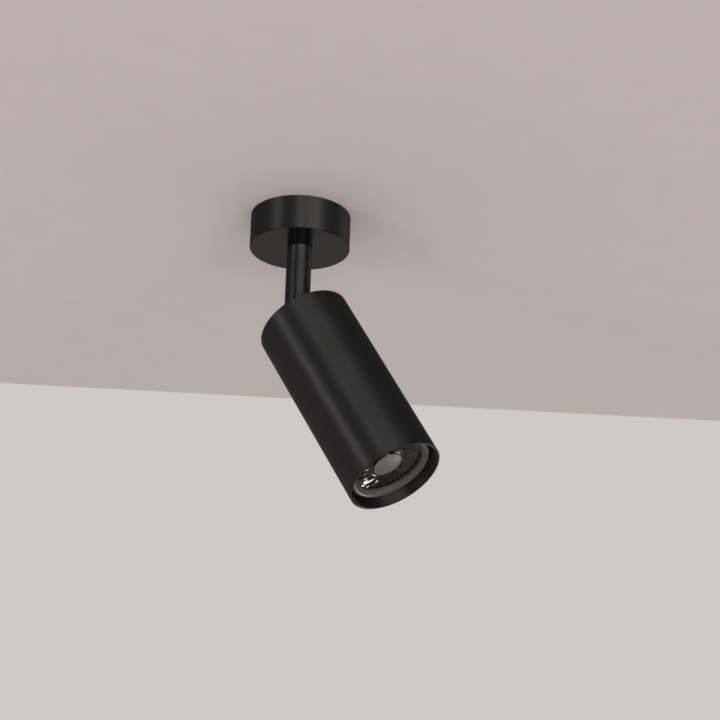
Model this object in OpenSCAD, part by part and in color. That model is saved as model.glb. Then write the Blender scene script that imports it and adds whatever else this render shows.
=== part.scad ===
// Ceiling spotlight: a round canopy, a short stem that swivels, and a tube that tilts and holds a
// twist-lock lamp.
// Frame: millimetres, +Z up, origin at the centre of the ceiling face. The head tilts towards -Y about
// the X axis.

/* [Canopy] */
// Outer diameter of the canopy
canopy_d = 60; // [58:1:70]
// Height of the canopy below the ceiling
canopy_h = 21.4; // [20:0.2:28]
// Side wall of the canopy
canopy_wall = 1.5; // [1:0.1:2]
// Floor of the canopy, which the stem hangs from
canopy_floor = 2; // [1.5:0.1:3]
// Bevel on the canopy's lower edge
canopy_bevel = 0.4; // [0.2:0.1:0.8]

/* [Mounting plate] */
// Sheet thickness of the mounting plate and its tabs
plate_t = 1.5; // [1:0.1:2]
// Clear space between the tabs' outer faces and the canopy's inner wall
tab_clearance = 3; // [2:0.1:4]
// Width of each tab
tab_w = 10; // [8:0.5:14]
// Length of each tab below the ceiling face
tab_drop = 11; // [9.5:0.5:13]
// Depth of the canopy's side screws below the ceiling
side_screw_depth = 7; // [5:0.5:8]
// Circle that the two ceiling screw holes lie on
ceiling_pcd = 36; // [32:0.5:38]
// Diameter of the ceiling screw holes
ceiling_hole_d = 4.5; // [3.5:0.1:5]
// Diameter of the supply cable's hole
cable_hole_d = 12; // [8:0.5:13]
// Angle of the plate's screw line about the vertical
plate_turn = 120; // [0:5:180]

/* [Terminal block] */
// Length of the three-pole terminal block
block_l = 26; // [24:0.5:27]
// Width of the terminal block, along its wires
block_w = 11; // [10:0.5:11.5]
// Height of the terminal block
block_h = 9.5; // [8.5:0.1:10]
// Clearance between the terminal block's outer corners and the canopy's inner wall
block_clearance = 3.8; // [2.6:0.1:4.2]
// Distance between poles
pole_pitch = 8; // [7.5:0.1:8.2]

/* [Swivel] */
// Diameter of the collar and the stem
stem_d = 15; // [14:0.2:18]
// Height of the fixed collar under the canopy
collar_h = 11.3; // [8:0.1:18]
// Diameter of the collar's neck, which is riveted through the canopy's floor
neck_d = 11.5; // [10:0.1:12.5]
// Thickness of the thrust washer that shows as the seam
thrust_washer_t = 0.4; // [0.3:0.1:0.8]
// Bevel on each side of the seam
seam_bevel = 0.3; // [0.1:0.05:0.5]
// Diameter of the threaded spigot on top of the stem
spigot_d = 8; // [7.4:0.1:8.6]
// Diameter of the stem's bore for the leads
bore_d = 5; // [4.6:0.1:5.4]
// Thickness of the nut that holds the stem
swivel_nut_h = 4; // [3:0.1:5]
// Diameter of the stop pin in the stem's shoulder
stop_pin_d = 1.2; // [1:0.1:1.4]
// Width of the lug that ends the stop pin's groove
stop_lug_w = 1.2; // [0.8:0.1:1.6]
// Depth of the stop pin's groove
groove_depth = 1.5; // [1.2:0.1:2.5]

/* [Tilt joint] */
// Length of the stem from the seam to the tilt axis
stem_drop = 29.1; // [24:0.1:60]
// Thickness of each cheek at the stem's lower end
cheek_t = 2.65; // [2.4:0.05:2.8]
// Thickness of each friction washer in the tilt joint
friction_washer_t = 0.3; // [0.2:0.1:0.5]
// Diameter of the tilt screws' shoulders
shoulder_d = 4; // [3.6:0.1:4.4]
// Distance from the tilt axis to the tube's rear face
head_back = 10.3; // [10.2:0.1:14]
// Thickness of the tongue's base
base_t = 2.4; // [2:0.1:2.5]
// Metal left outside the base's screw holes
base_rim = 0.8; // [0.6:0.1:1.5]
// Tilt of the head away from straight down
rest_tilt = 31; // [0:1:90]

/* [Tube] */
// Clearance between the lamp and the tube's inner wall
lamp_gap = 1.5; // [1:0.1:4]
// Length of the tube
tube_l = 120; // [118:1:160]
// Wall of the tube
tube_wall = 1.5; // [1:0.1:1.8]
// Bevel on the tube's outer edges
tube_bevel = 0.3; // [0.1:0.1:0.6]
// Thickness of the rear plate
rear_plate_t = 3; // [2.5:0.1:4]
// Depth of the lamp's face inside the tube's mouth
lamp_recess = 4.8; // [3:0.1:12]

/* [Lampholder] */
// Sheet thickness of the lampholder's bracket
bracket_t = 1.2; // [1:0.1:1.5]
// Width across the bracket's two legs
bracket_span = 32; // [30:0.5:36]
// Width of the bracket's strip
bracket_w = 12; // [10:0.5:14]
// Diameter of the ceramic lampholder
holder_d = 29; // [28:0.5:30]
// Width of the lampholder across its flats
holder_flats = 22; // [20:0.5:24]
// Height of the lampholder
holder_h = 16.5; // [15:0.1:20]
// Distance of each holder screw from the axis
holder_screw_r = 10.5; // [10.2:0.1:10.8]
// Thickness of the lampholder's front wall, which the pins lock behind
holder_lip = 2.8; // [2.4:0.1:3.2]
// Turn of the lamp from locked to free
lamp_twist = 25; // [15:1:30]

/* [Lamp] */
// Diameter of the lamp's face
lamp_d = 50; // [48:0.1:50.5]
// Length of the lamp from its face to the ends of its pins
lamp_l = 54; // [53:0.1:56]
// Width of the lamp's bezel
bezel_w = 5.2; // [4.5:0.1:5.5]
// Slope of the bezel's face, from its outer edge down to the lens
bezel_slope = 2; // [1:0.1:2.4]
// Distance of each lamp pin from the axis
pin_r = 5; // [4.9:0.05:5.1]
// Diameter of the lamp pins' heads
pin_head_d = 5; // [4.6:0.1:5]
// Height of the lamp pins' heads
pin_head_h = 2.5; // [2:0.1:2.8]
// Diameter of the lamp pins' necks
pin_neck_d = 3; // [2.6:0.1:3.2]
// Height of the lens behind its flange
lens_h = 12.5; // [11:0.5:13]
// Length of the shell behind the board that carries the LED
shell_tail = 15; // [14:0.5:16]
// Number of cooling grooves round the lamp's shell
fin_count = 20; // [12:1:24]
// Diameter of the lens's middle disc
lens_disc_d = 17.5; // [14:0.5:20]

/* [Leads] */
// Diameter of each insulated lead
lead_d = 1.7; // [1.5:0.05:1.8]

/* [Hidden] */
$fn = 96;
eps = 0.01;

// Clearances
press_gap = 0.02;
running_gap = 0.05;
slip_gap = 0.2;

// Canopy heights
canopy_r = canopy_d / 2;
canopy_ir = canopy_r - canopy_wall;
floor_top_z = canopy_floor - canopy_h;
collar_bottom_z = -canopy_h - collar_h;
tab_r = canopy_ir - tab_clearance;
tab_step = 0.5;
plate_r = tab_r - tab_step;
side_screw_d = 3;
side_screw_sink = 0.3;
socket_d = 1.7;

// Terminal block
block_corner_r = canopy_ir - block_clearance;
block_offset = sqrt(block_corner_r * block_corner_r - block_l * block_l / 4) - block_w / 2;
clamp_w = 4.4;
clamp_h = 5;
clamp_l = block_w - 2;
clamp_bore_d = 2.6;
clamp_screw_d = 2.4;
clamp_z = -plate_t - block_h / 2;
clamp_screw_offset = clamp_l / 4;
part_line_w = 0.8;
part_line_depth = 1;
block_screw_d = 2.5;
block_head_h = 1.4;
earth_screw_d = 3.5;
earth_head_d = 7;
earth_head_h = 2.4;
earth_washer_w = 8;
earth_washer_t = 1;
earth_offset = plate_r * 0.6;

// Swivel stack
stem_r = stem_d / 2;
bore_r = bore_d / 2;
stem_top_z = collar_bottom_z - thrust_washer_t;
friction_ring_t = 1;
spring_washer_t = 1.2;
friction_ring_z = floor_top_z;
spring_washer_z = friction_ring_z + friction_ring_t;
swivel_nut_z = spring_washer_z + spring_washer_t;
spigot_spare = 1;
spigot_top_z = swivel_nut_z + swivel_nut_h + spigot_spare;
stop_r = (spigot_d / 2 + stem_r - seam_bevel) / 2;
swivel_nut_across = spigot_d + 5;
groove_w = stop_pin_d + 0.3;
pin_rise = groove_depth - 0.2;
pin_seat = 2;

// Tilt joint
pivot_z = stem_top_z - stem_drop;
knuckle_r = stem_r - 0.2;
knuckle_gap = 0.6;
cheek_in = stem_r - cheek_t;
tongue_t = 2 * (cheek_in - running_gap - friction_washer_t);
tongue_r = stem_r - 1.5;
slot_r = tongue_r + knuckle_gap;
tilt_head_d = 5.8;
tilt_head_h = 1.2;
tilt_sink = tilt_head_h + 0.2;
tilt_thread_d = 2.9;
friction_washer_d = 2 * tongue_r - 1;
tongue_hole_d = bore_d + 1;
screw_d = 2.9;
screw_hole_d = 3.2;
screw_head_d = 5.5;
screw_head_h = 2;

// Tube and lampholder, measured forward from the tube's rear face
tube_ir = lamp_d / 2 + lamp_gap;
tube_r = tube_ir + tube_wall;
lamp_face = tube_l - lamp_recess;
pin_end = lamp_face - lamp_l;
pin_lock_gap = 0.2;
pin_head_top = pin_end + pin_head_h;
holder_lip_back = pin_head_top + pin_lock_gap;
holder_front = holder_lip_back + holder_lip;
holder_back = holder_front - holder_h;
lamp_base_back = holder_front + 0.3;
contact_travel = 3;
pocket_floor = pin_end - contact_travel;
flange_rim = 1.9;
flange_l = bracket_span / 2 - holder_screw_r + screw_hole_d / 2 + flange_rim;
holder_screw_l = 8;
grommet_r = tongue_hole_d / 2 + 0.6;
grommet_flange_r = grommet_r + 1.2;
grommet_flange_t = 1.2;
base_screw_y = grommet_flange_r + screw_head_d / 2 + slip_gap;
bracket_foot_w = 2 * base_screw_y + screw_hole_d + 3;
tongue_base_r = base_screw_y + screw_d / 2 + base_rim;
head_earth_y = bracket_foot_w / 2 + 6;
earth_ring_r = 3.2;
earth_ring_t = 0.8;
earth_ring_tail_w = 2.4;
earth_ring_tail_l = 4.6;
contact_leaf_r = 2.2;
contact_leaf_t = 0.5;
crimp_r = 1.1;
lead_hole_r = crimp_r + 0.1;

// Lamp, measured forward from the tube's rear face
lamp_r = lamp_d / 2;
lens_r = lamp_r - bezel_w;
bezel_h = 3;
bezel_step = 0.5;
bezel_back = lamp_face - bezel_h;
lens_flange_r = lens_r + 1.6;
lens_flange_t = 2;
lens_front = bezel_back - bezel_step;
lens_ledge = lens_front - lens_flange_t;
lens_foot_gap = 0.4;
lens_foot_z = lens_ledge - lens_h;
led_board_t = 1.6;
led_board_z = lens_foot_z - lens_foot_gap - led_board_t;
led_board_r = 17;
web_t = 2.5;
shell_back = led_board_z - shell_tail;
shell_back_r = 17;
shell_flare_z = lens_ledge - 4.5;
fin_slot_w = 1.6;
fin_slot_cut = 1.2;
fin_slot_margin = 3;
shell_wall = 1.5;
base_wall = 1.6;
base_floor = 2;
base_neck_r = 9;
base_plug = 4;
base_neck_l = 5;
base_flange_l = 2;
board_w = 13;
board_t = 1.6;
board_gap = 1;
driver_gap = 3;
capacitor_r = 3.5;
capacitor_h = 9;
coil_w = 8;
coil_t = 5;
rectifier_w = 3;
led_r = 5.5;
led_t = 0.9;
lens_foot_r = 8;
lens_cavity_r = 6;
lens_cavity_h = 4.5;
lens_cone_r = lens_flange_r - 2.6;
lens_dish = 2.3;
disc_rise = 0.6;
disc_foot = 2.6;
disc_crown = 0.7;
bezel_lip = 0.3;
bezel_round = 0.8;

// Leads
lead_r = lead_d / 2;
lead_ring_r = lead_r * 2 / sqrt(3) + 0.15;
lead_sides = 8;
lead_steps = 24;
lead_gap = 0.3;
lead_in_clamp = 3;
lead_in_head = 3;
lead_arch = 8;
stem_lead_top_z = spigot_top_z - 2;
stem_lead_end_z = pivot_z + 4;
LEAD_COLOURS = ["saddlebrown", "royalblue", "yellowgreen"];
BLACK = [0.07, 0.07, 0.07];

// Places

// The mounting plate's own frame: its screw holes and tabs lie along X
module plate_frame() {
    rotate([0, 0, plate_turn]) children();
}

// The head's frame: origin at the middle of the tube's rear face, +Z forward to the mouth
module head_frame() {
    translate([0, 0, pivot_z])
        rotate([-rest_tilt, 0, 0])
            translate([0, 0, -head_back])
                rotate([180, 0, 0]) children();
}

module at_z(z) {
    translate([0, 0, z]) children();
}

// Both ends of a line through the axis: once as it is, once turned half round
module twice() {
    for (turn = [0, 180])
        rotate([0, 0, turn]) children();
}

// Shapes

module ring(outer_r, inner_r, h) {
    difference() {
        cylinder(r = outer_r, h = h);
        at_z(-eps) cylinder(r = inner_r, h = h + 2 * eps);
    }
}

// A round bar with a bevel at one or both ends
module bevelled_bar(r, h, low = 0, high = 0) {
    rotate_extrude()
        polygon([[0, 0], [r - low, 0], [r, low], [r, h - high], [r - high, h], [0, h]]);
}

// A pan-head screw whose head's underside is at z = 0 and whose shank points down
module pan_screw(shank_d, shank_l, head_d, head_h) {
    difference() {
        union() {
            at_z(-shank_l) cylinder(d = shank_d, h = shank_l + eps);
            bevelled_bar(head_d / 2, head_h, high = head_h / 3);
        }
        at_z(head_h / 2)
            for (turn = [0, 90])
                rotate([0, 0, turn])
                    translate([-head_d / 4, -0.4, 0]) cube([head_d / 2, 0.8, head_h]);
    }
}

// A slot that runs round the axis from one angle to another
module arc_slot(mid_r, half_w, from, to, h) {
    rotate([0, 0, from]) rotate_extrude(angle = to - from)
        translate([mid_r - half_w, 0]) square([2 * half_w, h]);
}

// Leads: a smooth curve through four control points, swept with an even tube

function curve(a, b, c, d, steps) = [
    for (i = [0 : steps])
        let (t = i / steps, u = 1 - t)
            u * u * u * a + 3 * u * u * t * b + 3 * u * t * t * c + t * t * t * d
];

function unit(v) = v / norm(v);

function tangent(path, i) = unit(path[min(i + 1, len(path) - 1)] - path[max(i - 1, 0)]);

// A side vector carried along the path without twisting
function carried(path, i, side) = i == len(path) ? [] :
    let (t = tangent(path, i), v = unit(side - (side * t) * t))
        concat([v], carried(path, i + 1, v));

module lead(path) {
    sides = carried(path, 0, [1, 0.1, 0.2]);
    n = len(path);
    points = [
        for (i = [0 : n - 1])
            let (t = tangent(path, i), u = sides[i], w = cross(t, u))
                for (k = [0 : lead_sides - 1])
                    path[i] + lead_r * (cos(360 * k / lead_sides) * u + sin(360 * k / lead_sides) * w)
    ];
    walls = [
        for (i = [0 : n - 2])
            for (k = [0 : lead_sides - 1])
                let (m = (k + 1) % lead_sides, a = i * lead_sides, b = a + lead_sides)
                    each [[a + k, a + m, b + m], [a + k, b + m, b + k]]
    ];
    last = (n - 1) * lead_sides;
    caps = [
        for (k = [1 : lead_sides - 2])
            each [[0, k + 1, k], [last, last + k, last + k + 1]]
    ];
    polyhedron(points = points, faces = [for (f = concat(walls, caps)) [f[0], f[2], f[1]]]);
}

// Place of lead i in the bundle that runs through the stem
function bundle(i) = lead_ring_r * [cos(90 + 120 * i), sin(90 + 120 * i), 0];

// A point of the head's frame, in the part's frame
function from_head(p) =
    let (y = -p[1], z = -p[2] - head_back)
        [p[0], y * cos(rest_tilt) + z * sin(rest_tilt), pivot_z - y * sin(rest_tilt) + z * cos(rest_tilt)];

// A point of the mounting plate's frame, in the part's frame
function from_plate(p) =
    [p[0] * cos(plate_turn) - p[1] * sin(plate_turn), p[0] * sin(plate_turn) + p[1] * cos(plate_turn), p[2]];

// Canopy and what it holds

module mounting_plate() {
    color("silver") plate_frame() difference() {
        union() {
            at_z(-plate_t) cylinder(r = plate_r, h = plate_t);
            twice() {
                translate([plate_r - tab_w / 2, -tab_w / 2, -plate_t])
                    cube([tab_r - plate_r + tab_w / 2, tab_w, plate_t]);
                translate([tab_r - plate_t, -tab_w / 2, -tab_drop]) cube([plate_t, tab_w, tab_drop]);
            }
        }
        at_z(-plate_t - eps) cylinder(d = cable_hole_d, h = plate_t + 2 * eps);
        twice()
            translate([ceiling_pcd / 2, 0, -plate_t - eps])
                cylinder(d = ceiling_hole_d, h = plate_t + 2 * eps);
        translate([pole_pitch / 2, block_offset, -plate_t - eps])
            cylinder(d = block_screw_d + 2 * press_gap, h = plate_t + 2 * eps);
        translate([0, -earth_offset, -plate_t - eps])
            cylinder(d = earth_screw_d + 2 * press_gap, h = plate_t + 2 * eps);
    }
}

module canopy() {
    color(BLACK) difference() {
        at_z(-canopy_h) bevelled_bar(canopy_r, canopy_h, low = canopy_bevel);
        at_z(floor_top_z) cylinder(r = canopy_ir, h = canopy_h);
        at_z(-canopy_h - eps) cylinder(d = neck_d + 2 * press_gap, h = canopy_floor + 2 * eps);
        plate_frame() twice()
            translate([canopy_ir - 1, 0, -side_screw_depth])
                rotate([0, 90, 0]) cylinder(d = side_screw_d, h = canopy_wall + 2);
    }
}

// Two grub screws through the canopy's wall, which press on the plate's tabs
module canopy_screws() {
    grub_l = canopy_r - side_screw_sink - tab_r;
    color(BLACK) plate_frame() twice()
        translate([tab_r, 0, -side_screw_depth]) rotate([0, 90, 0]) difference() {
            cylinder(d = side_screw_d, h = grub_l);
            at_z(grub_l - 1.5) cylinder(d = socket_d, h = 2, $fn = 6);
        }
}

module each_pole() {
    for (x = [-pole_pitch, 0, pole_pitch])
        translate([x, block_offset, clamp_z]) children();
}

module each_clamp_screw() {
    each_pole()
        for (y = [-1, 1])
            translate([0, y * clamp_screw_offset, 0]) children();
}

module terminal_block() {
    wall_drop = block_h / 2 - clamp_h / 2;
    color("whitesmoke") plate_frame() difference() {
        translate([-block_l / 2, block_offset - block_w / 2, -plate_t - block_h])
            cube([block_l, block_w, block_h]);
        each_pole()
            cube([clamp_w + 2 * running_gap, block_w + 2, clamp_h + 2 * running_gap], center = true);
        each_clamp_screw()
            at_z(-clamp_h / 2 - wall_drop - 1) cylinder(d = clamp_screw_d + 0.4, h = wall_drop + 2);
        for (x = [-0.5, 0.5])
            translate([x * pole_pitch - part_line_w / 2, block_offset - block_w, -plate_t - block_h - eps])
                cube([part_line_w, 2 * block_w, part_line_depth]);
        translate([pole_pitch / 2, block_offset, -plate_t - block_h - eps])
            cylinder(d = block_screw_d + 2 * running_gap, h = block_h + 2 * eps);
    }
}

module terminal_clamps() {
    color("goldenrod") plate_frame() difference() {
        each_pole() cube([clamp_w, clamp_l, clamp_h], center = true);
        each_pole() rotate([90, 0, 0]) cylinder(d = clamp_bore_d, h = clamp_l + 2, center = true);
        each_clamp_screw() at_z(-clamp_h / 2 - 1) cylinder(d = clamp_screw_d, h = clamp_h / 2 + 1);
    }
}

module terminal_screws() {
    color("silver") plate_frame() each_clamp_screw()
        at_z(-clamp_h / 2 - 1) difference() {
            cylinder(d = clamp_screw_d - 2 * press_gap, h = clamp_h / 2);
            translate([-clamp_screw_d, -0.25, -eps]) cube([2 * clamp_screw_d, 0.5, 0.6]);
        }
}

// Holds the terminal block up to the plate
module block_screw() {
    color("silver") plate_frame()
        translate([pole_pitch / 2, block_offset, -plate_t - block_h])
            mirror([0, 0, 1])
                pan_screw(block_screw_d, block_h + plate_t - slip_gap, block_screw_d + 2, block_head_h);
}

// The protective earth screw, up into the plate, with a square washer under its head
module earth_screw() {
    color("silver") plate_frame() translate([0, -earth_offset, -plate_t]) {
        difference() {
            translate([-earth_washer_w / 2, -earth_washer_w / 2, -earth_washer_t])
                cube([earth_washer_w, earth_washer_w, earth_washer_t]);
            at_z(-earth_washer_t - eps)
                cylinder(d = earth_screw_d + 2 * press_gap, h = earth_washer_t + 2 * eps);
        }
        at_z(-earth_washer_t)
            mirror([0, 0, 1]) pan_screw(earth_screw_d, earth_washer_t + plate_t, earth_head_d, earth_head_h);
    }
}

// Fixed collar, riveted through the canopy's floor, with the stop pin's groove in its lower face
module collar() {
    lug_angle = stop_lug_w / stop_r * 180 / PI;
    color(BLACK) difference() {
        union() {
            at_z(collar_bottom_z) bevelled_bar(stem_r, collar_h, low = seam_bevel);
            at_z(-canopy_h - eps) cylinder(d = neck_d, h = canopy_floor + eps);
        }
        at_z(collar_bottom_z - eps)
            cylinder(d = spigot_d + 2 * running_gap, h = collar_h + canopy_floor + 2 * eps);
        at_z(collar_bottom_z - eps)
            rotate([0, 0, 90 + lug_angle / 2])
                rotate_extrude(angle = 360 - lug_angle)
                    translate([stop_r - groove_w / 2, 0]) square([groove_w, groove_depth]);
    }
}

// From the terminal clamps, in over the nut and down into the stem's bore
module canopy_leads() {
    for (i = [0 : 2]) {
        x = (1 - i) * pole_pitch;
        start = from_plate([x, block_offset - block_w / 2 + lead_in_clamp, clamp_z]);
        out = from_plate([x, 1, clamp_z]);
        down = bundle(i) + [0, 0, stem_lead_top_z + lead_gap];
        above = bundle(i) + [0, 0, spigot_top_z + lead_arch];
        color(LEAD_COLOURS[i]) lead(curve(start, out, above, down, lead_steps));
    }
}

// Stem body

// A fork whose two cheeks hold the head's tongue. The cheeks are round on the side that the head tilts
// to, and keep their corner on the other, where it stops the tilt
module stem() {
    color(BLACK) difference() {
        union() {
            at_z(stem_top_z - eps) cylinder(d = spigot_d, h = spigot_top_z - stem_top_z + eps);
            at_z(pivot_z) bevelled_bar(stem_r, stem_top_z - pivot_z, high = seam_bevel);
            intersection() {
                at_z(pivot_z - stem_r) cylinder(r = stem_r, h = stem_r + eps);
                at_z(pivot_z) union() {
                    rotate([0, 90, 0]) cylinder(r = knuckle_r, h = stem_d, center = true);
                    translate([-stem_r, 0, -knuckle_r]) cube([stem_d, stem_r, knuckle_r]);
                }
            }
        }
        at_z(pivot_z) cylinder(r = bore_r, h = spigot_top_z - pivot_z + 1);
        translate([-cheek_in, -stem_d, pivot_z - stem_d]) {
            cube([2 * cheek_in, stem_d, stem_d + slot_r]);
            cube([2 * cheek_in, 2 * stem_d, stem_d]);
        }
        at_z(pivot_z) rotate([0, 90, 0]) {
            cylinder(r = slot_r, h = 2 * cheek_in, center = true);
            cylinder(d = shoulder_d + 2 * running_gap, h = 2 * stem_d, center = true);
            for (side = [0, 1])
                mirror([0, 0, side])
                    at_z(stem_r - tilt_sink) cylinder(d = tilt_head_d + 2 * slip_gap, h = stem_d);
        }
        translate([0, -stop_r, stem_top_z - pin_seat]) cylinder(d = stop_pin_d, h = pin_seat + 1);
    }
}

module thrust_washer() {
    color("dimgray") at_z(stem_top_z) difference() {
        ring(stem_r - seam_bevel - 0.2, spigot_d / 2 + running_gap, thrust_washer_t);
        translate([0, -stop_r, -eps]) cylinder(d = stop_pin_d + 0.1, h = thrust_washer_t + 2 * eps);
    }
}

module stop_pin() {
    color("silver") translate([0, -stop_r, stem_top_z - pin_seat])
        cylinder(d = stop_pin_d, h = pin_seat + thrust_washer_t + pin_rise);
}

module friction_ring() {
    color("ivory") at_z(friction_ring_z) ring(neck_d / 2 + 2.5, spigot_d / 2 + running_gap, friction_ring_t);
}

// Split spring washer under the nut
module spring_washer() {
    color("silver") at_z(spring_washer_z) difference() {
        ring(spigot_d / 2 + 2.2, spigot_d / 2 + running_gap, spring_washer_t);
        rotate([15, 0, 0]) translate([0, -0.3, -spring_washer_t]) cube([spigot_d, 0.6, 4 * spring_washer_t]);
    }
}

module swivel_nut() {
    flat_to_corner = 2 / sqrt(3);
    color("silver") at_z(swivel_nut_z) difference() {
        cylinder(d = swivel_nut_across * flat_to_corner, h = swivel_nut_h, $fn = 6);
        at_z(-eps) cylinder(d = spigot_d + 2 * press_gap, h = swivel_nut_h + 2 * eps);
    }
}

module stem_leads() {
    for (i = [0 : 2])
        color(LEAD_COLOURS[i])
            translate(bundle(i) + [0, 0, stem_lead_end_z])
                cylinder(r = lead_r, h = stem_lead_top_z - stem_lead_end_z);
}

// The leads where they cross the tilt joint: they bend when the head tilts
module knuckle_leads() {
    for (i = [0 : 2]) {
        b = bundle(i);
        top = [b[0], b[1], stem_lead_end_z - lead_gap];
        low = [b[0], b[1], pivot_z - 1];
        near = from_head([b[0], -b[1], 1 - head_back]);
        end = from_head([b[0], -b[1], rear_plate_t + lead_in_head]);
        color(LEAD_COLOURS[i]) lead(curve(top, low, near, end, lead_steps));
    }
}

// Head body

// A tongue on a round base, screwed to the tube's rear plate from inside. The tongue is slotted down its
// middle for the leads
module tongue() {
    color(BLACK) head_frame() difference() {
        union() {
            at_z(-base_t) bevelled_bar(tongue_base_r, base_t, low = tube_bevel);
            at_z(-head_back) {
                rotate([0, 90, 0]) cylinder(r = tongue_r, h = tongue_t, center = true);
                translate([-tongue_t / 2, -tongue_r, 0])
                    cube([tongue_t, 2 * tongue_r, head_back - base_t / 2]);
            }
        }
        at_z(-base_t - 1) cylinder(d = tongue_hole_d, h = base_t + 2);
        translate([-bore_r, -stem_d, -head_back - stem_d])
            cube([bore_d, 2 * stem_d, stem_d + head_back - base_t]);
        rotate([0, 0, 90]) twice()
            translate([base_screw_y, 0, -base_t - 1]) cylinder(d = screw_d, h = base_t + 2);
        at_z(-head_back) rotate([0, 90, 0]) cylinder(d = tilt_thread_d, h = stem_d, center = true);
    }
}

// Two shoulder screws that the head turns on, through the stem's cheeks and threaded into the tongue
module tilt_screws() {
    thread_l = (tongue_t - bore_d) / 2 - 0.1;
    shoulder_end = stem_r - tilt_sink + running_gap;
    color("silver") head_frame() at_z(-head_back) twice() rotate([0, 90, 0]) difference() {
        union() {
            at_z(tongue_t / 2 - thread_l) cylinder(d = tilt_thread_d, h = thread_l);
            at_z(tongue_t / 2) cylinder(d = shoulder_d, h = shoulder_end - tongue_t / 2);
            at_z(shoulder_end) cylinder(d = tilt_head_d, h = tilt_head_h);
        }
        at_z(shoulder_end + tilt_head_h - 0.8) cylinder(d = 2.6, h = 1, $fn = 6);
    }
}

module friction_washers() {
    color("goldenrod") head_frame() at_z(-head_back) twice() rotate([0, 90, 0]) at_z(tongue_t / 2)
        ring(friction_washer_d / 2, shoulder_d / 2 + running_gap, friction_washer_t);
}

module tongue_screws() {
    stack = rear_plate_t + bracket_t;
    color("silver") head_frame() rotate([0, 0, 90]) twice()
        translate([base_screw_y, 0, stack])
            pan_screw(screw_d - 2 * press_gap, stack + base_t - 0.2, screw_head_d, screw_head_h);
}

module tube() {
    color(BLACK) head_frame() difference() {
        bevelled_bar(tube_r, tube_l, low = tube_bevel, high = tube_bevel);
        at_z(-eps) cylinder(r = tube_ir, h = tube_l + 2 * eps);
    }
}

// Pressed into the tube's rear end
module rear_plate() {
    color(BLACK) head_frame() difference() {
        cylinder(r = tube_ir - press_gap, h = rear_plate_t);
        at_z(-eps) cylinder(r = grommet_r + press_gap, h = rear_plate_t + 2 * eps);
        rotate([0, 0, 90]) twice()
            translate([base_screw_y, 0, -eps]) cylinder(d = screw_hole_d, h = rear_plate_t + 2 * eps);
        translate([0, head_earth_y, rear_plate_t - 2]) cylinder(d = screw_d, h = 2 + eps);
    }
}

// Soft bush that keeps the leads off the rear plate's edge
module grommet() {
    color("dimgray") head_frame() difference() {
        union() {
            cylinder(r = grommet_r, h = rear_plate_t + bracket_t + eps);
            at_z(rear_plate_t + bracket_t) cylinder(r = grommet_flange_r, h = grommet_flange_t);
        }
        at_z(-eps) cylinder(r = bore_r + 0.2, h = rear_plate_t + bracket_t + grommet_flange_t + 2 * eps);
    }
}

// Folded strip that carries the lampholder from the rear plate
module holder_bracket() {
    leg_l = holder_back - rear_plate_t;
    color("silver") head_frame() at_z(rear_plate_t) difference() {
        union() {
            translate([-bracket_span / 2, -bracket_foot_w / 2, 0])
                cube([bracket_span, bracket_foot_w, bracket_t]);
            twice() {
                translate([bracket_span / 2 - bracket_t, -bracket_w / 2, 0])
                    cube([bracket_t, bracket_w, leg_l]);
                translate([bracket_span / 2 - flange_l, -bracket_w / 2, leg_l - bracket_t])
                    cube([flange_l, bracket_w, bracket_t]);
            }
        }
        at_z(-eps) cylinder(r = grommet_r + press_gap, h = bracket_t + 2 * eps);
        rotate([0, 0, 90]) twice()
            translate([base_screw_y, 0, -eps]) cylinder(d = screw_hole_d, h = bracket_t + 2 * eps);
        twice()
            translate([holder_screw_r, 0, leg_l - bracket_t - eps])
                cylinder(d = screw_hole_d, h = bracket_t + 2 * eps);
    }
}

module holder_screws() {
    color("silver") head_frame() twice()
        translate([holder_screw_r, 0, holder_back - bracket_t])
            mirror([0, 0, 1]) pan_screw(screw_d - 2 * press_gap, holder_screw_l, screw_head_d, screw_head_h);
}

// Ceramic lampholder with two keyhole slots, wide where the pins go in and narrow where they lock
module lampholder() {
    neck_half = pin_neck_d / 2 + slip_gap;
    head_half = pin_head_d / 2 + slip_gap;
    neck_turn = asin(neck_half / pin_r);
    head_turn = asin(head_half / pin_r);
    pocket_h = holder_lip_back - pocket_floor;
    color("linen") head_frame() difference() {
        intersection() {
            at_z(holder_back) cylinder(d = holder_d, h = holder_h);
            translate([-holder_d / 2, -holder_flats / 2, holder_back])
                cube([holder_d, holder_flats, holder_h]);
        }
        twice() {
            at_z(pocket_floor)
                arc_slot(pin_r, head_half, -head_turn, lamp_twist + head_turn, pocket_h);
            at_z(holder_lip_back - eps)
                arc_slot(pin_r, neck_half, -neck_turn, lamp_twist, holder_lip + 1);
            rotate([0, 0, lamp_twist])
                translate([pin_r, 0, holder_lip_back - eps]) cylinder(r = head_half, h = holder_lip + 1);
            translate([pin_r, 0, holder_back - eps])
                cylinder(r = lead_hole_r, h = pocket_floor - holder_back + 2 * eps);
            translate([holder_screw_r, 0, holder_back - eps])
                cylinder(d = screw_d, h = holder_screw_l + eps - bracket_t);
        }
    }
}

// A crimp tube with a round leaf that each pin's end rests over
module holder_contacts() {
    leaf_z = pin_end - slip_gap - contact_leaf_t;
    crimp_l = leaf_z - pocket_floor + 4;
    color("goldenrod") head_frame() twice() translate([pin_r, 0, 0]) {
        at_z(leaf_z) cylinder(r = contact_leaf_r, h = contact_leaf_t);
        at_z(leaf_z - crimp_l) cylinder(r = crimp_r, h = crimp_l + eps);
    }
}

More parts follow.
